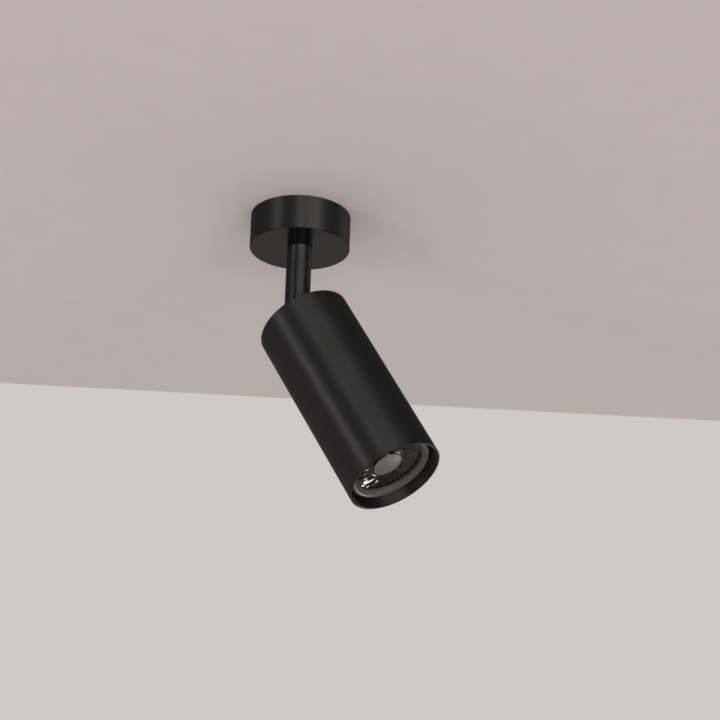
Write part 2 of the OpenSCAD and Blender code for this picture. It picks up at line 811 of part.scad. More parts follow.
// Live and neutral, from the grommet to the back of the lampholder
module head_leads() {
    start_z = rear_plate_t + lead_in_head + lead_gap;
    end_z = pocket_floor - 4 - lead_gap - 0.2;
    for (i = [0, 1]) {
        b = bundle(i);
        side = 1 - 2 * i;
        start = [b[0], -b[1], start_z];
        bow = start + [side, -6, 18];
        rise = [side * pin_r, 0, holder_back - 16];
        end = [side * pin_r, 0, end_z];
        color(LEAD_COLOURS[i])
            lead([for (p = curve(start, bow, rise, end, lead_steps)) from_head(p)]);
    }
}

// Protective earth, from the grommet to the screw on the rear plate
module head_earth_lead() {
    b = bundle(2);
    start = [b[0], -b[1], rear_plate_t + lead_in_head + lead_gap];
    rise = start + [0, 0, 9];
    over = [0, head_earth_y - 3, rear_plate_t + 11];
    end = [0, head_earth_y - 4.2, rear_plate_t + 1];
    color(LEAD_COLOURS[2]) lead([for (p = curve(start, rise, over, end, lead_steps)) from_head(p)]);
}

// Earth screw with the lead's ring under its head
module head_earth_screw() {
    color("silver") head_frame() translate([0, head_earth_y, rear_plate_t]) {
        difference() {
            union() {
                cylinder(r = earth_ring_r, h = earth_ring_t);
                translate([-earth_ring_tail_w / 2, -earth_ring_tail_l, 0])
                    cube([earth_ring_tail_w, earth_ring_r, earth_ring_t]);
            }
            at_z(-eps) cylinder(d = screw_d, h = earth_ring_t + 2 * eps);
        }
        at_z(earth_ring_t)
            pan_screw(screw_d - 2 * press_gap, earth_ring_t + 1.9, screw_head_d, screw_head_h);
    }
}

// Lamp body

module lamp_base() {
    flare = lamp_base_back + base_neck_l;
    flange = shell_back - base_flange_l;
    color("whitesmoke") head_frame() difference() {
        rotate_extrude() polygon([
            [0, lamp_base_back], [base_neck_r, lamp_base_back], [base_neck_r, flare],
            [shell_back_r, flange], [shell_back_r, shell_back],
            [shell_back_r - shell_wall - running_gap, shell_back],
            [shell_back_r - shell_wall - running_gap, shell_back + base_plug],
            [shell_back_r - shell_wall - base_wall, shell_back + base_plug],
            [shell_back_r - shell_wall - base_wall, flange + 1],
            [base_neck_r - base_wall, flare + 1], [base_neck_r - base_wall, lamp_base_back + base_floor],
            [0, lamp_base_back + base_floor]
        ]);
        twice() translate([pin_r, 0, lamp_base_back - eps])
            cylinder(d = pin_neck_d, h = base_floor + 2 * eps);
    }
}

module lamp_pins() {
    color("silver") head_frame() twice() translate([pin_r, 0, pin_end]) {
        bevelled_bar(pin_head_d / 2, pin_head_h, low = 0.5);
        cylinder(d = pin_neck_d - 2 * press_gap, h = lamp_base_back + base_floor - running_gap - pin_end);
    }
}

// Heat sink: thick at the front, with a web behind the LED board and grooves round it
module lamp_shell() {
    slope = atan((lamp_r - shell_back_r) / (shell_flare_z - shell_back));
    slot_l = shell_flare_z - shell_back - fin_slot_margin - 1;
    color("gainsboro") head_frame() difference() {
        rotate_extrude() polygon([
            [shell_back_r, shell_back], [lamp_r, shell_flare_z], [lamp_r, bezel_back],
            [lens_flange_r + slip_gap, bezel_back], [lens_flange_r + slip_gap, lens_ledge],
            [lens_cone_r + 0.6, lens_ledge], [led_board_r + slip_gap, led_board_z + 4],
            [led_board_r + slip_gap, led_board_z], [4, led_board_z], [4, led_board_z - web_t],
            [led_board_r + slip_gap, led_board_z - web_t],
            [shell_back_r - shell_wall, shell_back + base_plug + 1], [shell_back_r - shell_wall, shell_back]
        ]);
        for (i = [0 : fin_count - 1])
            rotate([0, 0, 360 * i / fin_count])
                translate([shell_back_r, 0, shell_back])
                    rotate([0, slope, 0])
                        translate([-fin_slot_cut, -fin_slot_w / 2, fin_slot_margin])
                            cube([lamp_r, fin_slot_w, slot_l]);
    }
}

module driver_board() {
    color("seagreen") head_frame()
        translate([-board_w / 2, -board_t / 2, lamp_base_back + base_floor])
            cube([board_w, board_t, led_board_z - web_t - lamp_base_back - base_floor - board_gap]);
}

// A capacitor, a coil and a rectifier on the driver board
module driver_parts() {
    mid = led_board_z - web_t - driver_gap - capacitor_h;
    color("darkslategray") head_frame() at_z(mid) {
        translate([-2, board_t / 2 + capacitor_r, 0]) cylinder(r = capacitor_r, h = capacitor_h);
        translate([-coil_w / 2, -board_t / 2 - coil_t, 0]) cube([coil_w, coil_t, coil_w]);
        translate([board_w / 2 - rectifier_w, board_t / 2, 0]) cube([rectifier_w, board_t, rectifier_w]);
    }
}

module led_board() {
    color("white") head_frame() at_z(led_board_z) ring(led_board_r, 1.5, led_board_t);
}

module led_chip() {
    color("khaki") head_frame() at_z(led_board_z + led_board_t) {
        bevelled_bar(led_r, led_t, high = 0.2);
    }
}

// Clear moulded lens: a flange in the shell, a cone down to a foot round the LED, and a middle disc
module lamp_lens() {
    foot = lens_foot_z;
    disc_r = lens_disc_d / 2;
    color([0.8, 0.85, 0.9, 0.5]) head_frame() rotate_extrude() polygon([
        [0, foot + lens_cavity_h], [lens_cavity_r - 0.6, foot + lens_cavity_h], [lens_cavity_r, foot],
        [lens_foot_r, foot], [lens_cone_r - 1, lens_ledge - 1.5], [lens_cone_r, lens_ledge],
        [lens_flange_r, lens_ledge], [lens_flange_r, lens_front], [lens_r - 0.4, lens_front],
        [disc_r + disc_foot, lens_front - lens_dish], [disc_r, lens_front - lens_dish + disc_rise],
        [disc_r * 0.6, lens_front - lens_dish + disc_rise + disc_crown * 0.7],
        [0, lens_front - lens_dish + disc_rise + disc_crown]
    ]);
}

module lamp_bezel() {
    color("gray") head_frame() rotate_extrude() polygon([
        [lens_r, lens_front], [lens_flange_r + slip_gap - running_gap, lens_front],
        [lens_flange_r + slip_gap - running_gap, bezel_back], [lamp_r, bezel_back],
        [lamp_r, lamp_face - bezel_round], [lamp_r - bezel_round * 0.3, lamp_face - bezel_round * 0.3],
        [lamp_r - bezel_round, lamp_face], [lens_r + bezel_lip, lamp_face - bezel_slope],
        [lens_r, lamp_face - bezel_slope - bezel_lip]
    ]);
}

mounting_plate();
canopy();
canopy_screws();
terminal_block();
terminal_clamps();
terminal_screws();
block_screw();
earth_screw();
collar();
canopy_leads();
stem();
thrust_washer();
stop_pin();
friction_ring();
spring_washer();
swivel_nut();
stem_leads();
knuckle_leads();
tongue();
tilt_screws();
friction_washers();
tongue_screws();
tube();
rear_plate();
grommet();
holder_bracket();
holder_screws();
lampholder();
holder_contacts();
head_leads();
head_earth_lead();
head_earth_screw();
lamp_base();
lamp_pins();
lamp_shell();
driver_board();
driver_parts();
led_board();
led_chip();
lamp_lens();
lamp_bezel();
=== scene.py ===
# %% [markdown]
# # A ceiling spotlight
# This lesson finishes a small black spotlight in Blender: a round canopy on the ceiling, a short stem that
# swivels, and a tube that tilts and holds a twist-lock lamp. The measured solids come ready from the CAD
# model, so each piece only needs its place kept, its visible form refined and its finish made.

# %% Load the measured model
import math

import bmesh
import bpy
from mathutils import Matrix, Vector


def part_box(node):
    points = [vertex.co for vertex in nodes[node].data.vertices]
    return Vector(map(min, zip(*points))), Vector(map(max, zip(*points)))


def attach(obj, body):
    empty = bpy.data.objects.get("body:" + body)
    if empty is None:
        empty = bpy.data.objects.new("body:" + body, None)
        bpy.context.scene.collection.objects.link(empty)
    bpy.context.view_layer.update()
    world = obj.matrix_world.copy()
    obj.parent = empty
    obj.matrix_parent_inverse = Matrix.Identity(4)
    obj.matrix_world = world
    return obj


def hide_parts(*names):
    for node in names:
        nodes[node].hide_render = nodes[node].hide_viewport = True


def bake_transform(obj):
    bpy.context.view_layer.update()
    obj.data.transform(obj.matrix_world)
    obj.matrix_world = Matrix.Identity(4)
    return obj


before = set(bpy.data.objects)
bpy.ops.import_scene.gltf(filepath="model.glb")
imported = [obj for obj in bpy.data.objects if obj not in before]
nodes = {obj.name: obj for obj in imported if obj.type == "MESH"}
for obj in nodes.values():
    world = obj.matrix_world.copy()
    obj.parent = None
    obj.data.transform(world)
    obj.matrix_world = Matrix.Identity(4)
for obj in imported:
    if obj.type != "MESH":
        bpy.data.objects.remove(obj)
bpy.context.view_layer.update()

# %% [markdown]
# ## Camera
# The lamp was photographed from below and to one side with a long lens. The camera's place and angles were
# fitted to the outlines of the canopy and the tube, so a render can be laid over the photograph. A long lens
# keeps the tube's sides almost parallel. Depth of field stays off, because the whole light is sharp.

# %% Place the camera
CAMERA_PLACE = (-0.9499, -0.5319, -0.5334)
YAW, PITCH, ROLL = 62.765, 22.083, 1.664

camera_data = bpy.data.cameras.new("camera")
camera_data.lens = 100
camera_data.sensor_width = 36
camera_data.clip_start = 0.05
camera_data.clip_end = 20
camera_data.dof.use_dof = False
camera = bpy.data.objects.new("camera", camera_data)
bpy.context.scene.collection.objects.link(camera)
turn = Matrix.Rotation(math.radians(-YAW), 4, "Z") @ Matrix.Rotation(math.radians(90 + PITCH), 4, "X")
camera.matrix_world = Matrix.Translation(CAMERA_PLACE) @ turn @ Matrix.Rotation(math.radians(ROLL), 4, "Z")
bpy.context.scene.camera = camera
print("camera to canopy:", round(Vector(CAMERA_PLACE).length, 3), "m")

# %% [markdown]
# ## Small helpers
# Modelling by operators acts on whatever is selected, so every piece starts from an empty selection. A few
# helpers cover most of the work: two pick faces or edges by where they are, as a click would, one adds a
# modifier and applies it at once, one drills a round hole, and one spins an outline round the axis.

# %% Helpers for modelling
MM = 0.001
ROUND = 144
NEAR = 1e-5


def start_clean():
    bpy.ops.object.select_all(action="DESELECT")


def named(name):
    piece = bpy.context.object
    piece.name = name
    piece.data.name = name
    return piece


def edit(piece):
    start_clean()
    piece.select_set(True)
    bpy.context.view_layer.objects.active = piece
    bpy.ops.object.mode_set(mode="EDIT")
    bpy.ops.mesh.select_all(action="SELECT")


def leave_edit():
    bpy.ops.object.mode_set(mode="OBJECT")


def pick_faces(piece, test):
    """Selects the faces whose middle and normal pass the test."""
    bpy.ops.mesh.select_mode(type="FACE")
    bpy.ops.mesh.select_all(action="DESELECT")
    mesh = bmesh.from_edit_mesh(piece.data)
    for face in mesh.faces:
        face.select_set(test(face.calc_center_median(), face.normal))
    bmesh.update_edit_mesh(piece.data)


def pick_edges(piece, test):
    """Selects the edges whose two ends both pass the test."""
    bpy.ops.mesh.select_mode(type="EDGE")
    bpy.ops.mesh.select_all(action="DESELECT")
    mesh = bmesh.from_edit_mesh(piece.data)
    for edge in mesh.edges:
        edge.select_set(all(test(corner.co) for corner in edge.verts))
    bmesh.update_edit_mesh(piece.data)


def applied(piece, kind, **settings):
    start_clean()
    piece.select_set(True)
    bpy.context.view_layer.objects.active = piece
    modifier = piece.modifiers.new(kind.lower(), kind)
    for setting, value in settings.items():
        setattr(modifier, setting, value)
    bpy.ops.object.modifier_apply(modifier=modifier.name)


def smooth(piece, degrees=35):
    """Shades smooth up to an angle. The large faces set the normals, so that a long side stays straight."""
    start_clean()
    piece.select_set(True)
    bpy.context.view_layer.objects.active = piece
    bpy.ops.object.shade_smooth_by_angle(angle=math.radians(degrees))
    applied(piece, "WEIGHTED_NORMAL", mode="FACE_AREA", weight=50, keep_sharp=True)


def drill(piece, place, direction, radius, depth, sides=48):
    """Cuts a round hole with a Boolean modifier; place is the middle of the drill."""
    start_clean()
    bpy.ops.mesh.primitive_cylinder_add(vertices=sides, radius=radius, depth=depth, location=place)
    cutter = bpy.context.object
    cutter.rotation_euler = Vector(direction).to_track_quat("Z", "Y").to_euler()
    applied(piece, "BOOLEAN", object=cutter, operation="DIFFERENCE", solver="EXACT")
    bpy.data.objects.remove(cutter)


def spun(name, outline, steps=ROUND, closed=True):
    """Draws an outline of (radius, height) points by extruding one vertex, and spins it round the axis."""
    start_clean()
    bpy.ops.mesh.primitive_plane_add(size=MM)
    piece = named(name)
    edit(piece)
    bpy.ops.mesh.select_mode(type="VERT")
    bpy.ops.mesh.merge(type="CENTER")
    bpy.ops.transform.translate(value=(outline[0][0], 0, outline[0][1]))
    points = list(outline) + ([outline[0]] if closed else [])
    for before, after in zip(points, points[1:]):
        step = (after[0] - before[0], 0, after[1] - before[1])
        bpy.ops.mesh.extrude_region_move(TRANSFORM_OT_translate={"value": step})
    bpy.ops.mesh.select_all(action="SELECT")
    bpy.ops.mesh.remove_doubles(threshold=1e-7)
    bpy.ops.mesh.spin(steps=steps, angle=2 * math.pi, center=(0, 0, 0), axis=(0, 0, 1))
    bpy.ops.mesh.select_all(action="SELECT")
    bpy.ops.mesh.remove_doubles(threshold=1e-6)
    bpy.ops.mesh.normals_make_consistent(inside=False)
    leave_edit()
    return piece


def arc(centre, radius, start, end, count):
    """Points of a rounded corner for an outline, from one angle to another, in degrees."""
    turns = [math.radians(start + (end - start) * i / count) for i in range(count + 1)]
    return [(centre[0] + radius * math.cos(a), centre[1] + radius * math.sin(a)) for a in turns]


print("helpers ready, round pieces get", ROUND, "sides")

# %% [markdown]
# The head's pieces are easiest to model upright, with the tube's rear face at zero and its mouth upwards.
# One matrix then carries them to the tilt axis and leans them 31 degrees. Their place is baked into the mesh,
# so every object stays at the origin like the measured solids.

# %% The head's own frame
PIVOT = Vector((0, 0, -0.0622))
HEAD_BACK = 0.0103
REST_TILT = 31

HEAD = (
    Matrix.Translation(PIVOT)
    @ Matrix.Rotation(math.radians(-REST_TILT), 4, "X")
    @ Matrix.Translation((0, 0, -HEAD_BACK))
    @ Matrix.Rotation(math.pi, 4, "X")
)


def into_head(piece):
    piece.data.transform(HEAD)
    piece.data.update()


mouth = HEAD @ Vector((0, 0, 0.120))
print("middle of the mouth in mm:", [round(v * 1000, 1) for v in mouth])

# %% [markdown]
# ## Canopy
# The canopy is a shallow pressed cup. It could be spun from an outline, but a cylinder whose top face is
# inset and pushed down gives the same cup in two steps. Its lower edge gets a small round, because that
# round is what catches the thin line of light along the real one.

# %% Model the canopy
low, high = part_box("canopy")
CANOPY_R = high.x
CANOPY_H = high.z - low.z
CANOPY_WALL = 1.5 * MM
CANOPY_FLOOR = 2 * MM
LOWER_EDGE = 0.5 * MM
RIM_EDGE = 0.2 * MM
NECK_HOLE_R = 5.77 * MM
SCREW_HOLE_R = 1.5 * MM
SCREW_HOLE_Z = -7 * MM
SCREW_TURN = math.radians(120)

start_clean()
bpy.ops.mesh.primitive_cylinder_add(
    vertices=ROUND, radius=CANOPY_R, depth=CANOPY_H, location=(0, 0, (low.z + high.z) / 2)
)
canopy = named("canopy_cup")
bpy.ops.object.transform_apply(location=True)
edit(canopy)
pick_faces(canopy, lambda at, normal: normal.z > 0.9)
bpy.ops.mesh.inset(thickness=CANOPY_WALL)
bpy.ops.mesh.extrude_region_move(TRANSFORM_OT_translate={"value": (0, 0, CANOPY_FLOOR - CANOPY_H)})
pick_edges(canopy, lambda p: p.z < low.z + NEAR)
bpy.ops.mesh.bevel(offset=LOWER_EDGE, segments=4, affect="EDGES")
pick_edges(canopy, lambda p: p.z > high.z - NEAR)
bpy.ops.mesh.bevel(offset=RIM_EDGE, segments=2, affect="EDGES")
leave_edit()

drill(canopy, (0, 0, low.z), (0, 0, 1), NECK_HOLE_R, 3 * CANOPY_FLOOR, sides=96)
for side in (0, math.pi):
    away = Vector((math.cos(SCREW_TURN + side), math.sin(SCREW_TURN + side), 0))
    drill(canopy, away * CANOPY_R + Vector((0, 0, SCREW_HOLE_Z)), away, SCREW_HOLE_R, 6 * MM, sides=40)
smooth(canopy)
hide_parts("canopy")
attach(canopy, "root")
print("canopy faces:", len(canopy.data.polygons))

# %% [markdown]
# ## Collar
# Under the canopy sits a fixed collar of the stem's own width. Its lower edge is eased, and so is the stem's
# upper edge: the two small bevels with a dark washer between them draw the seam where the light swivels. Its
# two end faces are drawn in by a hundredth of a millimetre, so that they share no plane with the washers that
# turn against them.

# %% Model the collar
low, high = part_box("collar")
SEAT_GAP = 0.01 * MM
low.z += SEAT_GAP
high.z -= SEAT_GAP
COLLAR_R = high.x
COLLAR_TOP = -CANOPY_H
NECK_R = 5.75 * MM
SEAM_BEVEL = 0.3 * MM
NECK_BEVEL = 0.25 * MM
SPIGOT_HOLE_R = 4.05 * MM

start_clean()
bpy.ops.mesh.primitive_cylinder_add(
    vertices=96, radius=COLLAR_R, depth=COLLAR_TOP - low.z, location=(0, 0, (low.z + COLLAR_TOP) / 2)
)
collar = named("collar_sleeve")
bpy.ops.object.transform_apply(location=True)
edit(collar)
pick_faces(collar, lambda at, normal: normal.z > 0.9)
bpy.ops.mesh.inset(thickness=COLLAR_R - NECK_R)
bpy.ops.mesh.extrude_region_move(TRANSFORM_OT_translate={"value": (0, 0, high.z - COLLAR_TOP)})
pick_edges(collar, lambda p: p.z < low.z + NEAR)
bpy.ops.mesh.bevel(offset=SEAM_BEVEL, segments=3, affect="EDGES")
pick_edges(collar, lambda p: p.z > high.z - NEAR)
bpy.ops.mesh.bevel(offset=NECK_BEVEL, segments=2, affect="EDGES")
leave_edit()
drill(collar, (0, 0, (low.z + high.z) / 2), (0, 0, 1), SPIGOT_HOLE_R, 2 * (high.z - low.z), sides=64)
smooth(collar)
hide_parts("collar")
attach(collar, "root")
print("collar height in mm:", round((COLLAR_TOP - low.z) * 1000, 2))

# %% [markdown]
# ## Tube
# The head's body is a drawn tube with thin walls. An open cylinder with a Solidify modifier is the shortest
# way to one: the wall has the same thickness all round, and a Bevel modifier then rounds all four lips at
# once. The rounded front lip shows as a fine line round the mouth.

# %% Model the tube
TUBE_R = 28 * MM
TUBE_L = 120 * MM
TUBE_WALL = 1.5 * MM
LIP_ROUND = 0.35 * MM

start_clean()
bpy.ops.mesh.primitive_cylinder_add(
    vertices=ROUND, radius=TUBE_R, depth=TUBE_L, end_fill_type="NOTHING", location=(0, 0, TUBE_L / 2)
)
tube = named("tube_body")
bpy.ops.object.transform_apply(location=True)
applied(tube, "SOLIDIFY", thickness=TUBE_WALL, offset=-1)
applied(tube, "BEVEL", width=LIP_ROUND, segments=4, limit_method="ANGLE", angle_limit=math.radians(60))
smooth(tube)
into_head(tube)
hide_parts("tube")
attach(tube, "head")
print("tube faces:", len(tube.data.polygons))

# %% [markdown]
# ## Lamp bezel
# Round the lens lies a grey ring. It is pressed plastic, highest near its outer third, where it rolls over
# towards the tube's wall, and it falls gently to the lens. Such a shape is one outline spun round the axis.

# %% Model the bezel
LAMP_R = 25 * MM
LENS_R = 19.8 * MM
LAMP_FACE = 115.2 * MM
BEZEL_BACK = 112.2 * MM
LENS_FRONT = 111.7 * MM
SEAT_R = 21.55 * MM
BEZEL_ROUND = 2.2 * MM

bezel_outline = [
    (LENS_R, LENS_FRONT), (SEAT_R, LENS_FRONT), (SEAT_R, BEZEL_BACK), (LAMP_R, BEZEL_BACK),
    (LAMP_R, LAMP_FACE - BEZEL_ROUND),
]
bezel_outline += arc((LAMP_R - BEZEL_ROUND, LAMP_FACE - BEZEL_ROUND), BEZEL_ROUND, 10, 90, 8)
bezel_outline += [
    (LAMP_R - 3 * MM, LAMP_FACE - 0.12 * MM), (LAMP_R - 3.8 * MM, LAMP_FACE - 0.55 * MM),
    (LENS_R + 0.45 * MM, LAMP_FACE - 1.3 * MM), (LENS_R + 0.12 * MM, LAMP_FACE - 1.5 * MM),
    (LENS_R, LAMP_FACE - 1.8 * MM),
]
bezel = spun("bezel_ring", bezel_outline)
smooth(bezel, 50)
into_head(bezel)
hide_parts("lamp_bezel")
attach(bezel, "lamp")
print("bezel faces:", len(bezel.data.polygons))

# %% [markdown]
# ## Lamp lens
# The lens is one clear moulding over a mirror-bright cup: a raised disc in the middle, and round it a dished
# ring of small facets. The facets are what make it look like glass, because each one mirrors another bit of
# the room. The ring is spun in few steps, so that it stays faceted, and each corner of a facet is then raised
# or sunk by a tenth of a millimetre, as moulded ones are, which leans every facet its own way.

# %% Model the facets
FACETS = 56
FACET_RISE = 0.10 * MM
WAVES = ((1, 2.4, 1.7), (0.6, 5.1, 4))

ring_front = [
    (11.2 * MM, 110.0 * MM), (12.9 * MM, 110.1 * MM), (14.6 * MM, 110.35 * MM),
    (16.3 * MM, 110.7 * MM), (18.0 * MM, 111.1 * MM), (19.7 * MM, 111.55 * MM),
]
ring_back = [(19.7 * MM, 110.75 * MM), (11.2 * MM, 109.2 * MM)]
facets = spun("lens_facets", ring_front + ring_back, steps=FACETS)
for vertex in facets.data.vertices:
    radius = math.hypot(vertex.co.x, vertex.co.y)
    step = round(math.atan2(vertex.co.y, vertex.co.x) * FACETS / (2 * math.pi)) % FACETS
    for band, (band_radius, _) in enumerate(ring_front[1:-1]):
        if abs(radius - band_radius) < 0.1 * MM:
            vertex.co.z += FACET_RISE * sum(
                share * math.sin(round_it * step + outwards * band) for share, round_it, outwards in WAVES
            )
start_clean()
facets.select_set(True)
bpy.context.view_layer.objects.active = facets
bpy.ops.object.shade_flat()
into_head(facets)
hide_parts("lamp_lens")
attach(facets, "lamp")
print("facets:", FACETS * (len(ring_front) - 1))

# %% [markdown]
# The disc in the lens's middle is a low step with a rounded rim and a crowned face. Behind the facets lies
# the moulding's own cone, which closes the way to the bezel. Both are round, so each is one outline spun
# finely.

# %% Model the lens's disc and cone
CROWN_R = 7.7 * MM
CROWN_FOOT = 110.84 * MM
CROWN_RISE = 0.5 * MM

disc_outline = [(0, 105 * MM), (11.35 * MM, 105 * MM), (11.35 * MM, 109.4 * MM)]
disc_outline += arc((11.05 * MM, 109.95 * MM), 0.3 * MM, -10, 90, 5)
disc_outline += [(10.75 * MM, 110.2 * MM), (9.6 * MM, 110.0 * MM), (9.05 * MM, 110.15 * MM)]
disc_outline += arc((8.45 * MM, 110.55 * MM), 0.4 * MM, -10, 90, 6)
disc_outline += [(8.2 * MM, 110.93 * MM), (8.0 * MM, 110.82 * MM), (CROWN_R, CROWN_FOOT)]
for part in range(1, 9):
    inwards = 1 - part / 8
    disc_outline.append((CROWN_R * inwards, CROWN_FOOT + CROWN_RISE * (1 - inwards ** 2)))
disc = spun("lens_disc", disc_outline, closed=False)
smooth(disc, 30)
into_head(disc)
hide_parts("lamp_lens")
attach(disc, "lamp")

cone_outline = [
    (9 * MM, 98.9 * MM), (18 * MM, 108.3 * MM), (21.3 * MM, 109.75 * MM), (21.3 * MM, 111.6 * MM),
    (19.75 * MM, 111.6 * MM), (19.75 * MM, 109.8 * MM), (17.4 * MM, 109.2 * MM), (8 * MM, 100.3 * MM),
]
cone = spun("lens_cone", cone_outline)
smooth(cone, 30)
into_head(cone)
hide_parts("lamp_lens")
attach(cone, "lamp")

# %% [markdown]
# ## Leads
# Three insulated leads run from the terminals through the stem into the head. Their measured solids are
# simple eight-sided tubes, three to a node. Copying a node, parting it into single leads and subdividing each
# gives round insulation, and lets each lead have its own colour. The stretch across the tilt joint keeps its
# place and is attached to no body.

# %% Part the leads and round them
LEAD_NAMES = ("brown", "blue", "earth")


def single_leads(node):
    start_clean()
    bundle = nodes[node].copy()
    bundle.data = nodes[node].data.copy()
    bundle.parent = None
    for key in list(bundle.keys()):
        del bundle[key]
    bpy.context.scene.collection.objects.link(bundle)
    edit(bundle)
    bpy.ops.mesh.remove_doubles(threshold=1e-6)
    bpy.ops.mesh.separate(type="LOOSE")
    leave_edit()
    return list(bpy.context.selected_objects)


def lead_number(piece, at_top):
    """Which of the three leads this is, from the angle of one of its ends round the stem's axis."""
    heights = [v.co.z for v in piece.data.vertices]
    level = max(heights) if at_top else min(heights)
    near = [v.co for v in piece.data.vertices if abs(v.co.z - level) < 0.8 * MM]
    middle = sum(near, Vector()) / len(near)
    return round((math.degrees(math.atan2(middle.y, middle.x)) - 90) / 120) % 3


leads = {}
for node, at_top in (("canopy_leads", False), ("stem_leads", True), ("knuckle_leads", True)):
    for piece in single_leads(node):
        leads[piece] = (node, lead_number(piece, at_top))
for piece in single_leads("head_leads"):
    side = sum(v.co.x for v in piece.data.vertices)
    leads[piece] = ("head_leads", 0 if side > 0 else 1)
for piece in single_leads("head_earth_lead"):
    leads[piece] = ("head_earth_lead", 2)

LEAD_BODY = {"canopy_leads": "root", "stem_leads": "stem", "head_leads": "head", "head_earth_lead": "head"}
for piece, (node, number) in leads.items():
    piece.name = piece.data.name = f"{node}_{LEAD_NAMES[number]}"
    applied(piece, "SUBSURF", levels=1, render_levels=1)
    smooth(piece, 60)
    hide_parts(node)
    if node == "knuckle_leads":
        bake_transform(piece)
    else:
        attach(piece, LEAD_BODY[node])
print("single leads:", sorted(piece.name for piece in leads))

# %% [markdown]
# ## Surface patterns
# Every finish gets its small irregularities from the same few patterns, so each pattern is built once as a
# node group. A group only gives masks and heights. The colours and the shader stay in each material. The
# patterns read Object coordinates, which are in metres here, so a scale of 1000 means one bump a millimetre.

# %% Helpers for node trees


def group(name, inputs, outputs):
    tree = bpy.data.node_groups.new(name, "ShaderNodeTree")
    for title, kind, value in inputs:
        made = tree.interface.new_socket(title, in_out="INPUT", socket_type=kind)
        if value is not None:
            made.default_value = value
    for title in outputs:
        tree.interface.new_socket(title, in_out="OUTPUT", socket_type="NodeSocketFloat")
    return tree, tree.nodes.new("NodeGroupInput"), tree.nodes.new("NodeGroupOutput")


def noise(tree, vector, scale, detail=2, roughness=0.5):
    node = tree.nodes.new("ShaderNodeTexNoise")
    node.inputs["Detail"].default_value = detail
    node.inputs["Roughness"].default_value = roughness
    if isinstance(scale, (int, float)):
        node.inputs["Scale"].default_value = scale
    else:
        tree.links.new(scale, node.inputs["Scale"])
    tree.links.new(vector, node.inputs["Vector"])
    return node.outputs["Fac"]


def maths(tree, operation, a, b=0.0):
    node = tree.nodes.new("ShaderNodeMath")
    node.operation = operation
    for socket, value in zip(node.inputs, (a, b)):
        if isinstance(value, (int, float)):
            socket.default_value = value
        else:
            tree.links.new(value, socket)
    return node.outputs[0]


def ranged(tree, value, low, high, to_low=0.0, to_high=1.0):
    node = tree.nodes.new("ShaderNodeMapRange")
    node.interpolation_type = "SMOOTHSTEP"
    tree.links.new(value, node.inputs["Value"])
    for title, number in (("From Min", low), ("From Max", high), ("To Min", to_low), ("To Max", to_high)):
        node.inputs[title].default_value = number
    return node.outputs["Result"]


print("node helpers ready")

# %% [markdown]
# The first pattern is a coated or moulded surface: a fine grain with a finer one on it for the bump, broad
# patches that mottle the colour, and a few specks. The specks are the cores of Voronoi cells, kept only where
# a slower noise is high, so that they lie in loose groups.

# %% Build the coated surface
DOTS_A_METRE = 420
SPECK_GROUPS = 160

COATED, coated_in, coated_out = group(
    "coated_surface",
    [
        ("Vector", "NodeSocketVector", None),
        ("Grain", "NodeSocketFloat", 1500.0),
        ("Patches", "NodeSocketFloat", 40.0),
    ],
    ["Height", "Mottle", "Specks"],
)
place = coated_in.outputs["Vector"]
peel = noise(COATED, place, coated_in.outputs["Grain"], detail=1)
powder = noise(COATED, place, maths(COATED, "MULTIPLY", coated_in.outputs["Grain"], 4.0), detail=2)
height = maths(COATED, "ADD", peel, maths(COATED, "MULTIPLY", powder, 0.35))
COATED.links.new(height, coated_out.inputs["Height"])
patches = noise(COATED, place, coated_in.outputs["Patches"], detail=4)
COATED.links.new(ranged(COATED, patches, 0.35, 0.65), coated_out.inputs["Mottle"])
dots = COATED.nodes.new("ShaderNodeTexVoronoi")
dots.inputs["Scale"].default_value = DOTS_A_METRE
COATED.links.new(place, dots.inputs["Vector"])
few = ranged(COATED, noise(COATED, place, SPECK_GROUPS, detail=1), 0.56, 0.66)
speck = maths(COATED, "MULTIPLY", ranged(COATED, dots.outputs["Distance"], 0.10, 0.05), few)
COATED.links.new(speck, coated_out.inputs["Specks"])
print("outputs:", [socket.name for socket in coated_out.inputs if socket.name])

# %% [markdown]
# The second is turned metal. A noise that is squeezed along the axis and stretched across it gives the fine
# rings that a lathe leaves, and a cloud over them keeps the metal from looking new all over.

# %% Build the turned metal
TURNED, turned_in, turned_out = group(
    "turned_metal",
    [("Vector", "NodeSocketVector", None), ("Lines", "NodeSocketFloat", 6000.0)],
    ["Height", "Mottle"],
)
place = turned_in.outputs["Vector"]
stretched = TURNED.nodes.new("ShaderNodeMapping")
stretched.inputs["Scale"].default_value = (0.06, 0.06, 1)
TURNED.links.new(place, stretched.inputs["Vector"])
lines = noise(TURNED, stretched.outputs[0], turned_in.outputs["Lines"], detail=3, roughness=0.7)
TURNED.links.new(lines, turned_out.inputs["Height"])
cloud = noise(TURNED, place, 90, detail=4)
TURNED.links.new(ranged(TURNED, maths(TURNED, "ADD", cloud, maths(TURNED, "MULTIPLY", lines, 0.4)), 0.5, 0.9),
                 turned_out.inputs["Mottle"])
print("pattern groups:", COATED.name, TURNED.name)

# %% [markdown]
# ## Finishes
# One function makes a finish: two nearby colours blended by the group's mottle, a roughness that wanders a
# little, and a fine bump. What is the same all over a surface, such as metallic or the specular level, is
# typed on the shader's own socket, because a game engine reads it from there. A turned surface also needs
# the direction of its lines, which a cross product gives at each place.

# %% The direction of turned lines


